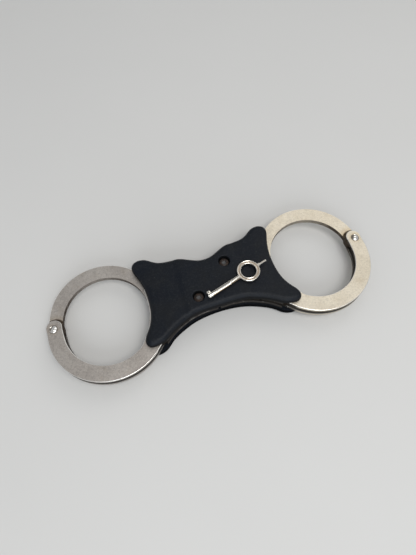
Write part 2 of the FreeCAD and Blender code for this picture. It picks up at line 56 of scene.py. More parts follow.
LOWER_OUTLINE = [(0, 20.9), (3.8, 21.3), (6.7, 22.3), (9.8, 23.7), (12.8, 25.2), (15.6, 26.5), (19.0, 27.3),
                 (22.3, 27.7), (26.1, 28.0), (29.7, 28.3), (33.1, 29.5), (36.7, 31.9), (39.8, 33.9), (43.0, 34.8),
                 (46.4, 34.3), (48.8, 32.5), (49.3, 30.2), (48.5, 27.2), (46.8, 22.1), (45.5, 16.2), (44.5, 10.6), (44.1, 5.5),
                 (44.2, 0), (44.9, -5.1), (46.5, -10.6), (48.6, -15.1), (51.3, -18.7), (53.5, -21.6), (54.2, -24.8),
                 (52.5, -28.0), (48.8, -29.1), (44.8, -28.5), (41.2, -26.7), (38.1, -24.0), (31.7, -19.8),
                 (26.4, -17.4), (20.2, -15.1), (13.7, -13.6), (7.1, -12.8), (0, -12.5)]


# ------------------------------------------------------------------ curves
def periodic_spline(pts, n):
    """Closed C2 cubic through pts, resampled at n even steps; anticlockwise."""
    p = np.array(pts, float)
    m = len(p)
    h = np.linalg.norm(np.roll(p, -1, 0) - p, axis=1)
    A = np.zeros((m, m)); B = np.zeros((m, 2))
    for i in range(m):
        a, b = h[i - 1], h[i]
        A[i, (i - 1) % m] += a; A[i, i] += 2 * (a + b); A[i, (i + 1) % m] += b
        B[i] = 6 * ((p[(i + 1) % m] - p[i]) / b - (p[i] - p[i - 1]) / a)
    M = np.linalg.solve(A, B)
    out = []
    for i in range(m):
        k = (i + 1) % m
        for t in np.linspace(0, h[i], 40, endpoint=False):
            u = h[i] - t
            out.append(M[i] * u ** 3 / (6 * h[i]) + M[k] * t ** 3 / (6 * h[i]) + (p[i] / h[i] - M[i] * h[i] / 6) * u + (p[k] / h[i] - M[k] * h[i] / 6) * t)
    out = even(np.array(out), n)
    if area(out) < 0:
        out = out[::-1]
    return out


def even(p, n):
    q = np.vstack([p, p[:1]])
    s = np.concatenate([[0], np.cumsum(np.linalg.norm(np.diff(q, axis=0), axis=1))])
    t = np.linspace(0, s[-1], n, endpoint=False)
    return np.column_stack([np.interp(t, s, q[:, 0]), np.interp(t, s, q[:, 1])])


def area(p):
    q = np.roll(p, -1, 0)
    return 0.5 * float(np.sum(p[:, 0] * q[:, 1] - q[:, 0] * p[:, 1]))


def offset(p, d):
    """Each point moved inwards by d (outwards if negative)."""
    t = np.roll(p, -1, 0) - np.roll(p, 1, 0)
    t /= np.linalg.norm(t, axis=1)[:, None]
    return p + np.column_stack([-t[:, 1], t[:, 0]]) * d


def circle(c, r, n, phase=0.0):
    a = np.linspace(0, 2 * math.pi, n, endpoint=False) + phase
    return np.column_stack([c[0] + r * np.cos(a), c[1] + r * np.sin(a)])


def distance(q, loop):
    """Distance of each point q to a closed polyline, and whether it is inside."""
    a = loop; b = np.roll(loop, -1, 0)
    ab = b - a
    L = (ab ** 2).sum(1)
    best = np.full(len(q), 1e9); inside = np.zeros(len(q), bool)
    for s in range(0, len(q), 2000):
        w = q[s:s + 2000]
        t = np.clip(((w[:, None] - a) * ab).sum(2) / L, 0, 1)
        d = np.linalg.norm(w[:, None] - (a + t[..., None] * ab), axis=2)
        best[s:s + 2000] = d.min(1)
        y0, y1 = a[None, :, 1], b[None, :, 1]
        cross = (y0 > w[:, None, 1]) != (y1 > w[:, None, 1])
        with np.errstate(divide="ignore", invalid="ignore"):
            xs = a[None, :, 0] + (w[:, None, 1] - y0) * ab[None, :, 0] / (y1 - y0)
        inside[s:s + 2000] = (np.where(cross, xs > w[:, None, 0], False).sum(1) % 2) == 1
    return best, inside


def smooth(e0, e1, x):
    t = np.clip((x - e0) / (e1 - e0), 0, 1)
    return t * t * (3 - 2 * t)


# ------------------------------------------------------------------ mesh building
class Builder:
    """Loops and patches gathered into one mesh, in mm."""

    def __init__(self):
        self.v, self.f = [], []

    def loop(self, xy, z):
        z = np.broadcast_to(np.asarray(z, float), (len(xy),))
        i = len(self.v)
        self.v += [(float(x), float(y), float(w)) for (x, y), w in zip(xy, z)]
        return list(range(i, i + len(xy)))

    def points(self, xyz):
        i = len(self.v)
        self.v += [tuple(float(c) for c in p) for p in xyz]
        return list(range(i, i + len(xyz)))

    def bridge(self, a, b, flip=False):
        n = len(a)
        for i in range(n):
            j = (i + 1) % n
            q = (a[i], a[j], b[j], b[i])
            self.f.append(q[::-1] if flip else q)

    def cap(self, loop, flip=False):
        """Fan to the middle."""
        p = np.array([self.v[i] for i in loop])
        c = self.points([p.mean(0)])[0]
        n = len(loop)
        for i in range(n):
            t = (loop[i], loop[(i + 1) % n], c)
            self.f.append(t[::-1] if flip else t)

    def object(self, name, material, sharp=38.0):
        me = bpy.data.meshes.new(name)
        me.from_pydata([(x * MM, y * MM, z * MM) for x, y, z in self.v], [], self.f)
        bm = bmesh.new(); bm.from_mesh(me)
        bmesh.ops.remove_doubles(bm, verts=bm.verts, dist=1e-7)
        bmesh.ops.recalc_face_normals(bm, faces=bm.faces)
        lim = math.radians(sharp)
        for f in bm.faces:
            f.smooth = True
        for e in bm.edges:
            if len(e.link_faces) == 2 and e.calc_face_angle(0) > lim:
                e.smooth = False
        bm.to_mesh(me); bm.free()
        o = bpy.data.objects.new(name, me)
        bpy.context.scene.collection.objects.link(o)
        me.materials.append(material)
        return o


def patch(rings, grid, holes, outer, height):
    """Triangulate rings (lists of xy loops; the first is the rim), hole rings and loose grid points.
    Returns vertices, triangles and the vertex indices of the rim and of each hole's edge."""
    pts, edges, keep = [], [], []
    def add(loop):
        i = len(pts)
        pts.extend([tuple(p) for p in loop])
        n = len(loop)
        edges.extend([(i + k, i + (k + 1) % n) for k in range(n)])
        return list(range(i, i + n))
    rim = add(rings[0])
    for r in rings[1:]:
        add(r)
    hole_rims = []
    for h in holes:
        hole_rims.append(add(h[0]))
        for r in h[1:]:
            add(r)
    pts.extend([tuple(p) for p in grid])
    vo, eo, fo, ov, oe, of_ = delaunay_2d_cdt([Vector((float(x), float(y))) for x, y in pts], edges, [], 0, 1e-5, True)
    xy = np.array([(p.x, p.y) for p in vo])
    tri = np.array([tuple(f) for f in fo])
    c = xy[tri].mean(1)
    _, ins = distance(c, np.array(rings[0]))
    ok = ins
    for h in holes:
        _, i2 = distance(c, np.array(h[0]))
        ok &= ~i2
    tri = tri[ok]
    back = {}
    for new, olds in enumerate(ov):
        for o in olds:
            back[o] = new
    z = height(xy)
    return xy, z, tri, [back[i] for i in rim], [[back[i] for i in h] for h in hole_rims]


def moulded_cover(name, material, outline, z_base, top, r_edge, wells, flip=1.0, ring_phis=(10, 20, 30, 40, 50, 60, 70), step=1.1):
    """A moulded shell half: rim rounded by r_edge, wells = [(centre, radius, floor z, rim radius)]; a well whose floor
    z is z_base goes through.
    top(xy) gives the height of the outer face.  flip -1 builds it facing down."""
    loop = outline
    rings = [loop] + [offset(loop, r_edge * (1 - math.cos(math.radians(a)))) for a in ring_phis]
    holes = []
    for c, r, zf, rr in wells:
        n = 72
        holes.append([circle(c, r, n)] + [circle(c, r + rr * (1 - math.cos(math.radians(a))), n) for a in (22, 45, 68, 90)])
    lo, hi = loop.min(0), loop.max(0)
    gx = np.arange(lo[0], hi[0], step); gy = np.arange(lo[1], hi[1], step * 0.866)
    g = np.array([(x + (j % 2) * step / 2, y) for j, y in enumerate(gy) for x in gx])
    d, ins = distance(g, loop)
    d_last = r_edge * (1 - math.cos(math.radians(ring_phis[-1])))
    ok = ins & (d > d_last + 0.45 * step)
    for c, r, zf, rr in wells:
        ok &= np.linalg.norm(g - np.array(c), axis=1) > r + rr + 0.4 * step
    g = g[ok]

    def height(xy):
        d, ins = distance(xy, loop)
        d = np.where(ins, d, 0)
        k = np.clip(d / r_edge, 0, 1)
        z = top(xy) - flip * (r_edge - r_edge * np.sqrt(np.clip(1 - (1 - k) ** 2, 0, 1)))
        for c, r, zf, rr in wells:
            e = np.clip((np.linalg.norm(xy - np.array(c), axis=1) - r) / rr, 0, 1)
            z = z - flip * (rr - rr * np.sqrt(np.clip(1 - (1 - e) ** 2, 0, 1)))
        return z

    xy, z, tri, rim, hole_rims = patch(rings, g, holes, loop, height)
    b = Builder()
    base = b.points([(x, y, w) for (x, y), w in zip(xy, z)])
    for t in tri:
        b.f.append(tuple(int(i) for i in t))
    rim_xy = xy[rim]
    # side wall with a little draft, and a broken lower edge
    last = rim
    wall_top = z[rim]
    lip = 0.45
    for k, (inn, frac) in enumerate(((0.0, 0.35), (0.05, 0.7), (0.1, 1.0))):
        zz = wall_top + (z_base + flip * lip - wall_top) * frac
        nxt = b.loop(offset(rim_xy, inn), zz)
        b.bridge(last, nxt)
        last = nxt
    nxt = b.loop(offset(rim_xy, 0.1 + 0.13), z_base + flip * lip * 0.3)
    b.bridge(last, nxt); last = nxt
    under = offset(rim_xy, 0.1 + lip)
    nxt = b.loop(under, z_base)
    b.bridge(last, nxt); last = nxt
    # wells
    floor_rings = []
    for (c, r, zf, rr), h in zip(wells, hole_rims):
        last_h = h
        top_z = float(np.mean(z[h]))
        for rad, zz in ((r - 0.03, zf + flip * 1.4), (r - 0.05, zf + flip * 0.35), (r - 0.4, zf)):
            ring = circle(c, rad, len(h))
            if flip * (zz - top_z) > 0:
                continue
            nxt = b.loop(ring, zz)
            b.bridge(last_h, nxt); last_h = nxt
        if abs(zf - z_base) > 1e-6:
            nxt = b.loop(circle(c, max(r - 1.6, 0.8), len(h)), zf)
            b.bridge(last_h, nxt)
            b.cap(nxt)
            floor_rings.append(None)
        else:
            floor_rings.append(last_h)
    # the mating face
    hl = [np.array([b.v[i][:2] for i in fr]) for fr in floor_rings if fr]
    n0 = len(b.v)
    xy2, z2, tri2, rim2, hr2 = patch([under], np.zeros((0, 2)), [[h] for h in hl], under, lambda q: np.full(len(q), z_base))
    remap = {}
    for a_, c_ in zip(rim2, last):
        remap[a_] = c_
    for hh, fr in zip(hr2, [f for f in floor_rings if f]):
        for a_, c_ in zip(hh, fr):
            remap[a_] = c_
    for i in range(len(xy2)):
        if i not in remap:
            remap[i] = b.points([(xy2[i][0], xy2[i][1], z_base)])[0]
    for t in tri2:
        b.f.append(tuple(remap[int(i)] for i in t))
    return b.object(name, material, 42)


def lathe(b, profile, n, origin=(0, 0, 0), axis="Z"):
    """profile: (radius, height) pairs from one end to the other; ends at radius 0 are capped."""
    ox, oy, oz = origin
    loops = []
    a = np.linspace(0, 2 * math.pi, n, endpoint=False)
    for r, h in profile:
        if axis == "Z":
            p = [(ox + r * math.cos(t), oy + r * math.sin(t), oz + h) for t in a]
        else:
            p = [(ox + h, oy + r * math.cos(t), oz + r * math.sin(t)) for t in a]
        loops.append(b.points(p))
    for p, q in zip(loops, loops[1:]):
        b.bridge(p, q)
    return loops


# ------------------------------------------------------------------ node materials
class Mat:
    def __init__(self, name):
        self.m = bpy.data.materials.new(name)
        self.m.use_nodes = True
        self.nt = self.m.node_tree
        self.nt.nodes.clear()
        self.out = self.nt.nodes.new("ShaderNodeOutputMaterial")
        self.bsdf = self.nt.nodes.new("ShaderNodeBsdfPrincipled")
        self.link(self.bsdf.outputs[0], self.out.inputs["Surface"])
        tc = self.nt.nodes.new("ShaderNodeTexCoord")
        s = self.nt.nodes.new("ShaderNodeVectorMath"); s.operation = "SCALE"
        s.inputs["Scale"].default_value = 1000.0
        self.link(tc.outputs["Object"], s.inputs[0])
        self.P = s.outputs[0]             # object coordinates, mm
        self.normal = tc.outputs["Normal"]
        sep = self.nt.nodes.new("ShaderNodeSeparateXYZ")
        self.link(self.P, sep.inputs[0])
        self.x, self.y, self.z = sep.outputs

    def link(self, a, b):
        self.nt.links.new(a, b)

    def put(self, v, sock):
        if isinstance(v, bpy.types.NodeSocket):
            self.link(v, sock)
        else:
            sock.default_value = v

    def math(self, op, a, b=None, c=None, clamp=False):
        n = self.nt.nodes.new("ShaderNodeMath"); n.operation = op; n.use_clamp = clamp
        for v, s in zip((a, b, c), n.inputs):
            if v is not None:
                self.put(v, s)
        return n.outputs[0]

    def ramp01(self, v, lo, hi):
        """Smooth step of v from lo to hi."""
        n = self.nt.nodes.new("ShaderNodeMapRange"); n.interpolation_type = "SMOOTHSTEP"
        self.put(v, n.inputs["Value"])
        n.inputs["From Min"].default_value = lo; n.inputs["From Max"].default_value = hi
        n.inputs["To Min"].default_value = 0.0; n.inputs["To Max"].default_value = 1.0
        return n.outputs["Result"]

    def lerp(self, v, lo, hi):
        n = self.nt.nodes.new("ShaderNodeMapRange")
        self.put(v, n.inputs["Value"])
        n.inputs["To Min"].default_value = lo; n.inputs["To Max"].default_value = hi
        return n.outputs["Result"]

    def noise(self, scale, detail=4.0, rough=0.55, vec=None, distortion=0.0, colour=False):
        n = self.nt.nodes.new("ShaderNodeTexNoise")
        n.inputs["Scale"].default_value = scale
        n.inputs["Detail"].default_value = detail
        n.inputs["Roughness"].default_value = rough
        n.inputs["Distortion"].default_value = distortion
        self.link(vec or self.P, n.inputs["Vector"])
        return n.outputs["Color" if colour else "Fac"]

    def voronoi(self, scale, feature="F1", vec=None, out="Distance", rnd=1.0):
        n = self.nt.nodes.new("ShaderNodeTexVoronoi"); n.feature = feature
        n.inputs["Scale"].default_value = scale
        n.inputs["Randomness"].default_value = rnd
        self.link(vec or self.P, n.inputs["Vector"])
        return n.outputs[out]

    def mapped(self, rot=(0, 0, 0), scale=(1, 1, 1), loc=(0, 0, 0), vec=None):
        n = self.nt.nodes.new("ShaderNodeMapping")
        n.inputs["Rotation"].default_value = rot
        n.inputs["Scale"].default_value = scale
        n.inputs["Location"].default_value = loc
        self.link(vec or self.P, n.inputs["Vector"])
        return n.outputs[0]

    def mix(self, f, a, b):
        n = self.nt.nodes.new("ShaderNodeMix"); n.data_type = "RGBA"; n.clamp_factor = True
        self.put(f, n.inputs["Factor"])
        for v, s in ((a, n.inputs[6]), (b, n.inputs[7])):
            if isinstance(v, bpy.types.NodeSocket):
                self.link(v, s)
            else:
                s.default_value = (*v, 1.0)
        return n.outputs[2]

    def bump(self, height, strength, dist, normal=None):
        n = self.nt.nodes.new("ShaderNodeBump")
        n.inputs["Strength"].default_value = strength
        n.inputs["Distance"].default_value = dist * MM
        self.link(height, n.inputs["Height"])
        if normal is not None:
            self.link(normal, n.inputs["Normal"])
        return n.outputs[0]

    def scratches(self, seed, density, vec=None):
        """Thin straight marks: long in one direction, narrow in the other, in a few directions."""
        total = None
        for k, ang in enumerate((0.35, 1.25, 2.2, 2.85)):
            v = self.mapped(rot=(0, 0, ang + seed), scale=(0.05, 2.6, 0.3), loc=(seed * 7 + k * 3.1, k * 5.7, 0), vec=vec)
            n = self.noise(1.6, 2.0, 0.5, v, 0.15)
            lines = self.ramp01(n, density, density + 0.05)
            total = lines if total is None else self.math("MAXIMUM", total, lines)
        return total

    def radius(self, cx, cy):
        dx = self.math("SUBTRACT", self.x, cx); dy = self.math("SUBTRACT", self.y, cy)
        return self.math("SQRT", self.math("ADD", self.math("MULTIPLY", dx, dx), self.math("MULTIPLY", dy, dy)))


def nickel(name, side, seed, tone_a, tone_b, dirt, grain, gap_shade_amount=1.0):
    """Satin nickel plate over steel: mottled tone, sandy tooth, pits, hairline scratches, bright worn edges that are
    also a painted highlight, dark brown walls that are grime and painted shade, painted shade where the grip covers the
    plates and between them.
    """
    M = Mat(name)
    mott = M.noise(0.050, 5.0, 0.6, M.mapped(loc=(seed * 40, seed * 11, 0)))
    col = M.mix(M.ramp01(mott, 0.34, 0.66), tone_a, tone_b)
    # sandy tooth: fine light and dark grains
    fine = M.noise(0.85, 3.0, 0.7)
    col = M.mix(M.math("MULTIPLY", M.ramp01(fine, 0.47, 0.62), grain), col, tuple(c * 0.66 for c in tone_a))
    grit = M.noise(0.95, 2.0, 0.6, M.mapped(loc=(31, 7, 3)))
    col = M.mix(M.math("MULTIPLY", M.ramp01(grit, 0.52, 0.64), grain), col, tuple(min(1, c * 1.22) for c in tone_b))
    # pits: sparse brown dots of a few sizes
    vd = M.voronoi(0.30); vc = M.voronoi(0.30, out="Color")
    sep = M.nt.nodes.new("ShaderNodeSeparateColor"); M.link(vc, sep.inputs[0])
    rare = M.ramp01(sep.outputs[0], 0.74, 0.80)
    size = M.lerp(sep.outputs[1], 0.03, 0.115)
    pit = M.math("MULTIPLY", M.ramp01(M.math("SUBTRACT", size, vd), -0.02, 0.03), rare)
    col = M.mix(M.math("MULTIPLY", pit, 0.62), col, (0.20, 0.13, 0.075))
    scr = M.scratches(seed, 0.69)
    col = M.mix(M.math("MULTIPLY", scr, 0.35), col, tuple(min(1, c * 1.22) for c in tone_b))
    # old stain clouds, warmer and darker
    stain = M.ramp01(M.noise(0.13, 5.0, 0.65, M.mapped(loc=(9, seed * 5, 4))), 0.52, 0.74)
    col = M.mix(M.math("MULTIPLY", stain, 0.30), col, tuple(c * w for c, w in zip(tone_a, (0.80, 0.72, 0.60))))
    # which way the surface faces
    ns = M.nt.nodes.new("ShaderNodeSeparateXYZ"); M.link(M.normal, ns.inputs[0])
    nz = M.math("ABSOLUTE", ns.outputs[2])
    wall = M.math("SUBTRACT", 1.0, M.ramp01(nz, 0.18, 0.45))
    # painted highlight: edge faces tilted between upright and flat are turned near-white, partly real polish from wear
    # and partly standing in for the light the rounded edges catch
    edge = M.math("MULTIPLY", M.ramp01(nz, 0.22, 0.50), M.math("SUBTRACT", 1.0, M.ramp01(nz, 0.960, 0.995)))
    edge = M.math("MULTIPLY", edge, M.lerp(M.ramp01(M.noise(0.22, 4.0), 0.30, 0.60), 0.70, 1.0))
    col = M.mix(M.math("MULTIPLY", edge, 0.95), col, (0.93, 0.915, 0.88))
    # painted shade on the side walls, strongest on the walls facing the ring's middle: turned dark brown, partly real
    # grime and partly standing in for the shade that falls there
    rr = M.radius(side * RING_X, 2.0)
    inner = M.math("SUBTRACT", 1.0, M.ramp01(rr, 31.0, 34.0))
    grime_n = M.ramp01(M.noise(0.35, 4.0, 0.6, M.mapped(loc=(5, 9, 2))), 0.25, 0.70)
    wall_grime_and_shade = M.math("MULTIPLY", wall, M.math("ADD", M.math("MULTIPLY", inner, 0.72), 0.20))
    wall_grime_and_shade = M.math("MULTIPLY", wall_grime_and_shade, M.lerp(grime_n, 0.88, 1.15), clamp=True)
    # dirt packed against the lug's cap, on the strand only; the dark band next to the cap also stands in as painted
    # contact shade where the strand meets the cap
    below = M.math("SUBTRACT", 1.0, M.ramp01(M.z, 12.45, 12.75))
    cap = M.radius(side * 109.82, 7.0)
    dark_band = M.math("MULTIPLY", M.math("SUBTRACT", 1.0, M.ramp01(cap, 6.7, 7.7)), below)
    dark_band = M.math("MULTIPLY", dark_band, M.lerp(grime_n, 0.75, 1.0))
    soft = M.math("MULTIPLY", M.math("SUBTRACT", 1.0, M.ramp01(cap, 7.0, 12.0)), below)
    # stain and a dirt line round the rivet head
    rp = M.radius(side * PIV[0], PIV[1])
    halo = M.math("MULTIPLY", M.math("SUBTRACT", 1.0, M.ramp01(rp, 2.6, 5.4)), M.ramp01(M.noise(0.5, 3.0, 0.6), 0.34, 0.66))
    line = M.math("SUBTRACT", 1.0, M.ramp01(rp, 2.75, 3.15))
    col = M.mix(M.math("MULTIPLY", M.math("ADD", halo, soft, clamp=True), dirt * 0.42), col, (0.46, 0.32, 0.14))
    col = M.mix(M.math("MULTIPLY", line, 0.80), col, (0.09, 0.060, 0.035))
    col = M.mix(dark_band, col, (0.045, 0.026, 0.012))
    # dark brown walls: grime and painted shade
    col = M.mix(wall_grime_and_shade, col, (0.034, 0.020, 0.010))
    # painted shade: blackened where the grip covers it, down inside the gap
    ax = M.math("ABSOLUTE", M.x)
    rc = M.radius(side * RING_X, 0.0)
    case = M.math("MULTIPLY", M.math("SUBTRACT", 1.0, M.ramp01(ax, 42.5, 45.5)), M.ramp01(rc, 29.0, 31.5))
    case = M.math("MULTIPLY", case, M.math("SUBTRACT", 1.0, M.math("MULTIPLY", M.ramp01(M.noise(0.16, 4.0), 0.55, 0.72), 0.5)))
    case = M.math("MAXIMUM", case, M.math("MULTIPLY", wall, M.math("SUBTRACT", 1.0, M.ramp01(ax, 47.5, 50.5))))
    # painted shade on the faces the plates turn towards each other
    off = M.math("ABSOLUTE", M.math("SUBTRACT", M.z, 10.5))
    between = M.math("MULTIPLY", M.ramp01(off, 1.80, 1.86), M.math("SUBTRACT", 1.0, M.ramp01(off, 2.0, 2.35)))
    case = M.math("MAXIMUM", case, M.math("MULTIPLY", between, 0.95))
    case = M.math("MULTIPLY", case, gap_shade_amount)
    col = M.mix(M.math("MULTIPLY", case, 0.98), col, (0.010, 0.007, 0.005))
    M.link(col, M.bsdf.inputs["Base Color"])
    M.link(M.math("SUBTRACT", 1.0, M.math("MULTIPLY", M.math("ADD", case, wall_grime_and_shade, clamp=True), 0.85)), M.bsdf.inputs["Metallic"])
    rough = M.lerp(M.noise(0.5, 4.0, 0.6, M.mapped(loc=(2, 4, 8))), 0.34, 0.50)
    rough = M.math("ADD", rough, M.math("MULTIPLY", M.math("ADD", wall_grime_and_shade, dark_band, clamp=True), 0.30), clamp=True)
    rough = M.math("SUBTRACT", rough, M.math("MULTIPLY", edge, 0.10), clamp=True)
    rough = M.math("ADD", rough, M.math("MULTIPLY", case, 0.40), clamp=True)
    rough = M.math("SUBTRACT", rough, M.math("MULTIPLY", scr, 0.10), clamp=True)
    rough = M.math("ADD", rough, M.math("MULTIPLY", pit, 0.25), clamp=True)
    M.link(rough, M.bsdf.inputs["Roughness"])
    h = M.math("ADD", M.math("MULTIPLY", fine, 0.45), M.math("MULTIPLY", grit, 0.45))
    h = M.math("SUBTRACT", h, M.math("MULTIPLY", pit, 0.9))
    h = M.math("SUBTRACT", h, M.math("MULTIPLY", scr, 0.35))
    M.link(M.bump(h, 0.5, 0.05), M.bsdf.inputs["Normal"])
    return M.m


def polymer(name, gloss):
    """Black moulded nylon: blue-black, fine spark-eroded grain, scuffs and lint; side walls turned near-black as
    painted shade.
    """
    M = Mat(name)
    base_n = M.ramp01(M.noise(0.045, 4.0, 0.6), 0.35, 0.68)
    col = M.mix(base_n, (0.0026, 0.0046, 0.0088), (0.0058, 0.0070, 0.0090))
    fine = M.noise(1.0, 4.0, 0.7)
    col = M.mix(M.math("MULTIPLY", M.ramp01(fine, 0.48, 0.66), 0.75), col, (0.0132, 0.0155, 0.0190))
    # pale lint and dust
    vd = M.voronoi(0.30); vc = M.voronoi(0.30, out="Color")
    sep = M.nt.nodes.new("ShaderNodeSeparateColor"); M.link(vc, sep.inputs[0])
    dust = M.math("MULTIPLY", M.ramp01(M.math("SUBTRACT", 0.09, vd), -0.03, 0.04), M.ramp01(sep.outputs[0], 0.80, 0.88))
    col = M.mix(M.math("MULTIPLY", dust, 0.32), col, (0.075, 0.070, 0.062))
    film = M.ramp01(M.noise(0.10, 6.0, 0.72, M.mapped(loc=(11, 3, 9)), 0.6), 0.50, 0.78)
    col = M.mix(M.math("MULTIPLY", film, 0.40), col, (0.0175, 0.0178, 0.0180))
    scr = M.scratches(0.8, 0.70)
    col = M.mix(M.math("MULTIPLY", scr, 0.40), col, (0.030, 0.032, 0.035))
    ns = M.nt.nodes.new("ShaderNodeSeparateXYZ"); M.link(M.normal, ns.inputs[0])
    # painted shade: side walls turned near-black, standing in for the dark they reflect and sit in
    wall = M.math("SUBTRACT", 1.0, M.ramp01(ns.outputs[2], 0.10, 0.60))
    col = M.mix(M.math("MULTIPLY", wall, 0.85), col, (0.0012, 0.0013, 0.0015))
    M.link(col, M.bsdf.inputs["Base Color"])
    r = M.lerp(M.noise(0.16, 5.0, 0.65, M.mapped(loc=(1, 8, 5))), 0.40, 0.56)
    r = M.math("ADD", r, M.math("MULTIPLY", film, 0.10), clamp=True)
    r = M.math("ADD", r, M.math("MULTIPLY", wall, 0.35), clamp=True)
    M.link(r, M.bsdf.inputs["Roughness"])
    M.bsdf.inputs["Specular IOR Level"].default_value = gloss
    grain = M.math("ADD", M.math("MULTIPLY", fine, 0.6), M.math("MULTIPLY", M.voronoi(1.4, "SMOOTH_F1"), 0.5))
    grain = M.math("SUBTRACT", grain, M.math("MULTIPLY", scr, 0.3))
    M.link(M.bump(grain, 0.6, 0.10), M.bsdf.inputs["Normal"])
    return M.m


def rusty(name, cx=None):
    """Blackened socket screws gone brown, with a painted highlight of lighter grey in the sockets and worn grey high
    spots.
    """
    M = Mat(name)
    n = M.noise(0.8, 6.0, 0.7)
    f = M.ramp01(n, 0.34, 0.62)
    rust = M.mix(M.ramp01(M.noise(2.2, 4.0, 0.7), 0.35, 0.7), (0.026, 0.015, 0.010), (0.070, 0.036, 0.022))
    col = M.mix(f, (0.045, 0.042, 0.040), rust)
    # painted highlight: lighter grey in the two sockets, standing in for the shine on the socket floor
    a = M.radius(*SCREWS[0]); b = M.radius(*SCREWS[1])
    d = M.math("MINIMUM", a, b)
    socket_highlight = M.math("SUBTRACT", 1.0, M.ramp01(d, 1.1, 1.9))
    socket_highlight = M.math("MULTIPLY", socket_highlight, M.ramp01(M.z, 12.0, 14.0))
    col = M.mix(M.math("MULTIPLY", socket_highlight, 0.72), col, (0.125, 0.130, 0.135))
    M.link(col, M.bsdf.inputs["Base Color"])
    M.link(M.math("SUBTRACT", 0.75, M.math("MULTIPLY", f, 0.65)), M.bsdf.inputs["Metallic"])
    M.link(M.lerp(f, 0.42, 0.80), M.bsdf.inputs["Roughness"])
    M.link(M.bump(M.math("ADD", n, M.math("MULTIPLY", M.noise(3.2, 4.0), 0.5)), 0.8, 0.12), M.bsdf.inputs["Normal"])
    return M.m


def machined(name, tone, rough=(0.34, 0.5), oil=0.4, seed=0.3):
    """Plain machined or blanked steel with tool marks and old oil."""
    M = Mat(name)
    tool = M.noise(1.0, 3.0, 0.6, M.mapped(rot=(0, 0, seed), scale=(0.12, 3.2, 3.2)))
    col = M.mix(M.ramp01(tool, 0.35, 0.7), tuple(c * 0.82 for c in tone), tone)
    stain = M.ramp01(M.noise(0.18, 5.0, 0.65), 0.45, 0.72)
    col = M.mix(M.math("MULTIPLY", stain, oil), col, (0.085, 0.058, 0.036))
    M.link(col, M.bsdf.inputs["Base Color"])
    M.bsdf.inputs["Metallic"].default_value = 1.0
    M.link(M.math("ADD", M.lerp(tool, rough[0], rough[1]), M.math("MULTIPLY", stain, 0.15), clamp=True), M.bsdf.inputs["Roughness"])
    M.link(M.bump(tool, 0.35, 0.03), M.bsdf.inputs["Normal"])
    return M.m


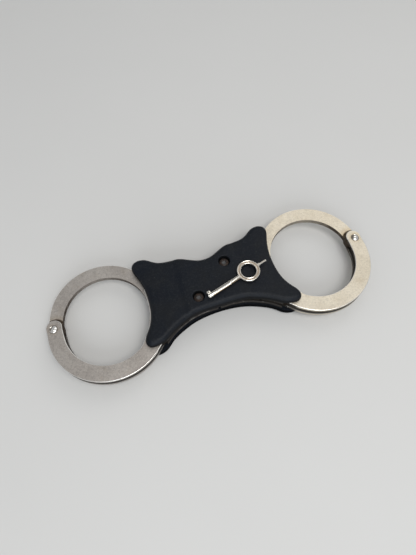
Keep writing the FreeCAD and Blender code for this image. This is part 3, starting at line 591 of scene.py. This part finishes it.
def bright(name, tone, rough=(0.10, 0.24), wear=(0.30, 0.20, 0.11), amount=0.4, seed=0.0, flat=None, painted_dark_side=None, tube=None):
    """Polished or worn bright nickel with brown in the low spots; flat is the tone given to upward faces; a dark-side
    direction darkens faces leaning that way as a painted reflection, tube lays a painted highlight and shade along a
    barrel, and downward faces get painted shade.
    """
    M = Mat(name)
    w = M.ramp01(M.noise(0.32, 5.0, 0.65, M.mapped(loc=(seed, 2 * seed, 1))), 0.46, 0.70)
    col = M.mix(M.math("MULTIPLY", w, amount), tone, wear)
    col = M.mix(M.math("MULTIPLY", M.ramp01(M.noise(2.2, 3.0, 0.6), 0.55, 0.75), 0.3), col, tuple(c * 0.75 for c in tone))
    ns = M.nt.nodes.new("ShaderNodeSeparateXYZ"); M.link(M.normal, ns.inputs[0])
    if flat:
        up = M.ramp01(ns.outputs[2], 0.975, 0.995)
        col = M.mix(M.math("MULTIPLY", up, 0.85), col, flat)
    if painted_dark_side:
        # painted reflection: faces leaning towards the given direction are darkened brown, standing in for the dark
        # surroundings a polished dome reflects
        lean = M.math("ADD", M.math("MULTIPLY", ns.outputs[0], painted_dark_side[0]), M.math("MULTIPLY", ns.outputs[1], painted_dark_side[1]))
        col = M.mix(M.math("MULTIPLY", M.ramp01(lean, 0.10, 0.34), 0.80), col, tuple(c * 0.5 for c in wear))
    if tube:
        # painted highlight and shade along the barrel: the plain bright tone on most of it, a dark brown band along one
        # side and brown on the side facing -Y, standing in for the room the round barrel reflects
        (tx, ty), deg, a0, a1 = tube
        c, n = math.cos(math.radians(deg)), math.sin(math.radians(deg))
        along = M.math("ADD", M.math("MULTIPLY", M.math("SUBTRACT", M.x, tx), c), M.math("MULTIPLY", M.math("SUBTRACT", M.y, ty), n))
        on = M.math("MULTIPLY", M.ramp01(along, a0, a0 + 0.3), M.math("SUBTRACT", 1.0, M.ramp01(along, a1, a1 + 0.3)))
        lean = M.math("ADD", M.math("MULTIPLY", ns.outputs[0], -n), M.math("MULTIPLY", ns.outputs[1], c))
        dark_band = M.math("MULTIPLY", M.ramp01(lean, 0.06, 0.16), M.math("SUBTRACT", 1.0, M.ramp01(lean, 0.34, 0.44)))
        low = M.math("SUBTRACT", 1.0, M.ramp01(lean, -0.72, -0.50))
        plain = M.math("SUBTRACT", 1.0, M.math("MAXIMUM", dark_band, low))
        col = M.mix(M.math("MULTIPLY", on, M.math("MULTIPLY", plain, 0.9)), col, tone)
        col = M.mix(M.math("MULTIPLY", on, M.math("MULTIPLY", dark_band, 0.92)), col, (0.085, 0.058, 0.038))
        col = M.mix(M.math("MULTIPLY", on, M.math("MULTIPLY", low, 0.80)), col, (0.26, 0.165, 0.075))
    # painted shade: downward faces, and upright ones by half, darkened brown
    underside_shade = M.math("SUBTRACT", 1.0, M.ramp01(ns.outputs[2], -0.35, 0.35))
    col = M.mix(M.math("MULTIPLY", underside_shade, 0.75), col, tuple(c * 0.45 for c in wear))
    M.link(col, M.bsdf.inputs["Base Color"])
    M.bsdf.inputs["Metallic"].default_value = 1.0
    r = M.lerp(M.noise(0.8, 4.0, 0.6), rough[0], rough[1])
    M.link(M.math("ADD", r, M.math("MULTIPLY", w, 0.18), clamp=True), M.bsdf.inputs["Roughness"])
    scr = M.scratches(1.7 + seed, 0.70)
    h = M.math("SUBTRACT", M.math("MULTIPLY", M.noise(1.4, 3.0), 0.6), M.math("MULTIPLY", scr, 0.4))
    M.link(M.bump(h, 0.25, 0.02), M.bsdf.inputs["Normal"])
    return M.m


# the left cuff's nickel is a darker copy of the right's: its lower tones are painted shade, standing in for the less
# light the left cuff catches
M_NICKEL_R = nickel("nickel_right", 1, 0.2, (0.655, 0.590, 0.478), (0.745, 0.680, 0.565), 1.0, 0.32)
M_NICKEL_L = nickel("nickel_left", -1, 1.4, (0.482, 0.438, 0.397), (0.572, 0.527, 0.478), 0.5, 0.42)
# the swinging strands come out of the grip, so their toothed ends get only a weak painted gap shade
M_STRAND_R = nickel("strand_right", 1, 0.2, (0.655, 0.590, 0.478), (0.745, 0.680, 0.565), 1.0, 0.32, 0.30)
M_STRAND_L = nickel("strand_left", -1, 1.4, (0.510, 0.466, 0.423), (0.602, 0.556, 0.505), 0.5, 0.42, 0.30)
M_GRIP = polymer("black_nylon", 0.18)
M_GRIP_LOW = polymer("black_nylon_lower", 0.03)
M_RUST = rusty("rusty_screw")
M_STEEL = machined("bare_steel", (0.40, 0.385, 0.365))
M_SPRING = machined("spring_strip", (0.20, 0.22, 0.27), (0.25, 0.35), 0.15, 1.2)
M_DARK = machined("frame_steel", (0.022, 0.018, 0.015), (0.55, 0.7), 0.12, 0.1)
M_RIVET = bright("pivot_rivet_polish", (0.86, 0.84, 0.80), (0.10, 0.18), amount=0.18, seed=2.0, painted_dark_side=(-0.75, 0.65))
M_KEY = bright("key_nickel", (0.93, 0.89, 0.81), (0.10, 0.19), (0.30, 0.20, 0.12), 0.30, 5.0, flat=(0.27, 0.20, 0.138), tube=((-6.3, -7.6), 16.2, 2.7, 24.6))


def round_over(node, width):
    """Worn, rounded edges on a blanked plate."""
    o = NODES[node]
    w = o.modifiers.new("join_faces", "WELD")
    w.merge_threshold = 0.00001
    d = o.modifiers.new("merge_flats", "DECIMATE")
    d.decimate_type = "DISSOLVE"
    d.angle_limit = math.radians(0.4)
    b = o.modifiers.new("worn_edge", "BEVEL")
    b.width = width * MM
    b.segments = 3
    b.limit_method = "ANGLE"
    b.angle_limit = math.radians(50)
    b.loop_slide = False
    b.use_clamp_overlap = False
    b.harden_normals = False
    n = o.modifiers.new("even_shading", "WEIGHTED_NORMAL")
    n.keep_sharp = False
    n.weight = 100


def assign(node, material):
    o = NODES[node]
    o.data.materials.clear()
    o.data.materials.append(material)


for side, mat_n, mat_s in (("left", M_NICKEL_L, M_STRAND_L), ("right", M_NICKEL_R, M_STRAND_R)):
    for part in ("cheek_plate_top", "cheek_plate_bottom"):
        assign(side + "_" + part, mat_n)
    assign(side + "_single_strand", mat_s)
    for part in ("cheek_plate_top", "cheek_plate_bottom"):
        round_over(side + "_" + part, 0.42)
    assign(side + "_pivot_rivet", M_RIVET)
    for part in ("pawl", "pawl_pin", "double_lock_bar", "key_post"):
        assign(side + "_" + part, M_STEEL)
    assign(side + "_lock_block", M_DARK)
    assign(side + "_pawl_spring", M_SPRING)
for node, m in (("centre_bar", M_DARK), ("frame_rivets", M_STEEL), ("grip_screws", M_RUST), ("grip_nuts", M_RUST), ("key", M_KEY)):
    assign(node, m)

# ------------------------------------------------------------------ grip covers
outline = OUTLINE + [(-x, y) for x, y in reversed(OUTLINE) if x > 0.01]
LOOP = periodic_spline(outline, 460)


def top_height(xy):
    ax = np.abs(xy[:, 0])
    step = smooth(19.2, 23.6, ax + 0.05 * (xy[:, 1] - 5))      # the raised middle panel ends in a soft crease
    fall = smooth(26, 55, ax)
    return COVER_TOP - 0.02 - 0.62 * step - 0.55 * fall


top_cover = moulded_cover("grip_top", M_GRIP, LOOP, ZT1, top_height, 3.5, [((sx, sy), 4.05, 16.7, 0.45) for sx, sy in SCREWS])
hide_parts("grip_top_cover")
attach(top_cover, "frame")

LOW = periodic_spline(LOWER_OUTLINE + [(-x, y) for x, y in reversed(LOWER_OUTLINE) if x > 0.01], 420)
bottom_cover = moulded_cover("grip_bottom", M_GRIP_LOW, LOW, ZB0, lambda q: np.zeros(len(q)), 2.6,
                             [((KEYHOLE[0], KEYHOLE[1]), 4.6, ZB0, 0.5), ((-KEYHOLE[0], KEYHOLE[1]), 4.6, ZB0, 0.5)]
                             + [((sx, sy), 3.5, 4.4, 0.3) for sx, sy in SCREWS], flip=-1.0)
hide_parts("grip_bottom_cover")
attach(bottom_cover, "frame")

# ------------------------------------------------------------------ screws, rivets, key
def hexagon(apothem, n, phase=0.0):
    t = np.linspace(0, 2 * math.pi, n, endpoint=False)
    u = np.mod(t + phase + math.pi / 6, math.pi / 3) - math.pi / 6
    return t, apothem / np.cos(u)


def screw_mesh(b, cx, cy):
    n = 72
    prof = [(0.0, 1.9), (1.2, 1.9), (1.45, 2.0), (1.75, 2.35)]
    z = 2.6
    while z < 7.0:       # threads at the nut end
        prof += [(1.75, z), (1.5, z + 0.2), (1.75, z + 0.4)]
        z += 0.5
    prof += [(1.75, 16.7), (3.2, 16.7), (3.35, 16.85), (3.35, 18.45), (3.3, 18.62), (3.15, 18.78)]
    for r in (2.9, 2.6, 2.3, 2.05):
        prof.append((r, 19.7 - 6.11 + math.sqrt(6.11 ** 2 - r * r) - 0.03))
    loops = lathe(b, prof, n, (cx, cy, 0))
    t, rh = hexagon(1.5, n)
    last = loops[-1]
    for k, zz in ((1.09, 19.42), (1.0, 19.28), (0.99, 18.1), (0.92, 18.0)):
        nxt = b.points([(cx + k * r * math.cos(a), cy + k * r * math.sin(a), zz) for a, r in zip(t, rh)])
        b.bridge(last, nxt); last = nxt
    b.cap(last)


b = Builder()
for sx, sy in SCREWS:
    screw_mesh(b, sx, sy)
screws = b.object("screws", M_RUST, 50)
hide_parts("grip_screws")
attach(screws, "frame")

for side, sg in (("left", -1), ("right", 1)):
    b = Builder()
    dome = []
    R = (2.6 ** 2 + 0.95 ** 2) / 1.9
    for r in (0.0, 0.5, 1.0, 1.4, 1.8, 2.1, 2.35, 2.5):
        dome.append((r, math.sqrt(R * R - r * r) - (R - 0.95)))
    prof = [(r, ZT1 + h) for r, h in dome] + [(2.59, ZT1 + 0.12), (2.58, ZT1 + 0.01), (1.9, ZT1)]
    prof += [(1.9, ZB0), (2.58, ZB0 - 0.01), (2.59, ZB0 - 0.12)] + [(r, ZB0 - h) for r, h in reversed(dome)]
    lathe(b, prof, 64, (sg * PIV[0], PIV[1], 0))
    o = b.object(side + "_hinge_rivet", M_RIVET, 50)
    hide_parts(side + "_pivot_rivet")
    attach(o, "frame")

KEY_TIP, KEY_DIR, KEY_Z = (-6.3, -7.6), 16.2, COVER_TOP + 1.78
b = Builder()
# barrel, hollow at the tip, with its small collar
lathe(b, [(0.0, 8.0), (1.08, 8.0), (1.08, 0.3), (1.16, 0.08), (1.28, 0.0), (1.42, 0.0), (1.55, 0.08), (1.6, 0.25), (1.6, 16.8),
          (1.66, 16.86), (1.74, 16.95), (1.74, 17.85), (1.66, 17.95), (1.6, 18.0), (1.6, 24.6), (1.55, 25.2), (0.0, 25.4)], 48, (0, 0, 0), "X")
# shoulder and pin beyond the ring
lathe(b, [(0.0, 39.9), (1.15, 39.95), (1.15, 42.0), (1.08, 42.25), (0.9, 42.4), (0.76, 42.55), (0.74, 43.0), (0.72, 46.9), (0.64, 47.4), (0.42, 47.7), (0.0, 47.79)], 36, (0, 0, 0), "X")
# ring: rounded rims with the flat a little lower between them
sec = []
for a in range(0, 91, 15):
    sec.append((7.9 - 0.42 + 0.42 * math.cos(math.radians(a)), 1.2 - 0.42 + 0.42 * math.sin(math.radians(a))))
sec += [(7.38, 1.18), (7.26, 1.10), (7.1, 1.08), (6.6, 1.075), (6.1, 1.08), (5.94, 1.10), (5.82, 1.18)]
for a in range(90, 181, 15):
    sec.append((5.3 + 0.42 + 0.42 * math.cos(math.radians(a)), 1.2 - 0.42 + 0.42 * math.sin(math.radians(a))))
sec += [(r, -z) for r, z in reversed(sec)]
loops = []
for k in range(96):
    a = 2 * math.pi * k / 96
    loops.append(b.points([(32.7 + r * math.cos(a), r * math.sin(a), z) for r, z in sec]))
for k in range(96):
    b.bridge(loops[k], loops[(k + 1) % 96])
# bit, with broken edges
def bit_loop(inn):
    x0, x1, y0, y1, c = 0.16 + inn, 2.54 - inn, 1.0 + inn, 3.29 - inn, 0.22
    return [(x0 + c, y0), (x1 - c, y0), (x1, y0 + c), (x1, y1 - c), (x1 - c, y1), (x0 + c, y1), (x0, y1 - c), (x0, y0 + c)]


bl = [b.loop(bit_loop(i), z) for i, z in ((0.14, -0.75), (0.0, -0.60), (0.0, 0.60), (0.14, 0.75))]
for p, q in zip(bl, bl[1:]):
    b.bridge(p, q)
b.cap(bl[0]); b.cap(bl[-1])
ck, sk = math.cos(math.radians(KEY_DIR)), math.sin(math.radians(KEY_DIR))
b.v = [(KEY_TIP[0] + x * ck - y * sk, KEY_TIP[1] + x * sk + y * ck, KEY_Z + z) for x, y, z in b.v]
key = b.object("key_body", M_KEY, 45)
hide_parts("key")
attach(key, "key")

# ------------------------------------------------------------------ floor, light, camera
me = bpy.data.meshes.new("floor")
s = 3.0
zf = -0.00005     # just under the object, so that the two faces never coincide
me.from_pydata([(-s, -s, zf), (s, -s, zf), (s, s, zf), (-s, s, zf)], [], [(0, 1, 2, 3)])
floor = bpy.data.objects.new("floor", me)
bpy.context.scene.collection.objects.link(floor)
F = Mat("floor_pale")
F.link(F.mix(F.noise(0.004, 4.0), (0.60, 0.595, 0.58), (0.64, 0.635, 0.62)), F.bsdf.inputs["Base Color"])
F.bsdf.inputs["Roughness"].default_value = 0.85
me.materials.append(F.m)

world = bpy.data.worlds.new("studio")
bpy.context.scene.world = world
world.use_nodes = True
bg = world.node_tree.nodes["Background"]
bg.inputs["Color"].default_value = (0.95, 0.97, 1.0, 1.0)
bg.inputs["Strength"].default_value = 0.47
bpy.context.scene.view_settings.view_transform = "Standard"


def area_light(name, pos, target, size, power, colour=(1, 1, 1), size_y=None):
    d = bpy.data.lights.new(name, "AREA")
    d.energy = power
    d.color = colour
    d.size = size
    if size_y:
        d.shape = "RECTANGLE"; d.size_y = size_y
    o = bpy.data.objects.new(name, d)
    bpy.context.scene.collection.objects.link(o)
    o.location = pos
    o.rotation_euler = (Vector(target) - Vector(pos)).to_track_quat("-Z", "Y").to_euler()
    return o


area_light("window", (0.80, 0.80, 1.25), (0.03, 0, 0), 1.0, 2.9, (1.0, 0.98, 0.93))
area_light("overhead", (0.20, -0.42, 1.15), (0, 0, 0), 0.55, 6.0, (1.0, 0.985, 0.96))
area_light("front", (-0.20, -1.20, 0.62), (0, 0, 0), 1.0, 8.5, (0.90, 0.95, 1.0))


def camera():
    f, pitch, roll, yaw = 417.0, math.radians(63.81), math.radians(-1.60), math.radians(16.96)
    t = Vector((4.32, -7.84, -287.49)) * MM
    cy, sy = math.cos(yaw), math.sin(yaw)
    ce, se = math.cos(pitch), math.sin(pitch)
    cr, sr = math.cos(roll), math.sin(roll)
    Rz = Matrix(((cy, -sy, 0), (sy, cy, 0), (0, 0, 1)))
    Rc = Matrix(((1, 0, 0), (0, se, ce), (0, -ce, se)))
    Rr = Matrix(((cr, sr, 0), (-sr, cr, 0), (0, 0, 1)))
    R = Rr @ Rc @ Rz
    Rt = R.transposed()
    loc = -(Rt @ t) + Vector((0, 0, ZT1 * MM))
    c = bpy.data.cameras.new("camera")
    c.sensor_width = 36.0
    c.sensor_fit = "AUTO"
    c.lens = 36.0 * f / 555.0
    c.clip_start = 0.01
    o = bpy.data.objects.new("camera", c)
    bpy.context.scene.collection.objects.link(o)
    o.matrix_world = Matrix.Translation(loc) @ Rt.to_4x4()
    bpy.context.scene.camera = o


camera()


def plain(b):
    return [[float(v) for v in p] for p in b]
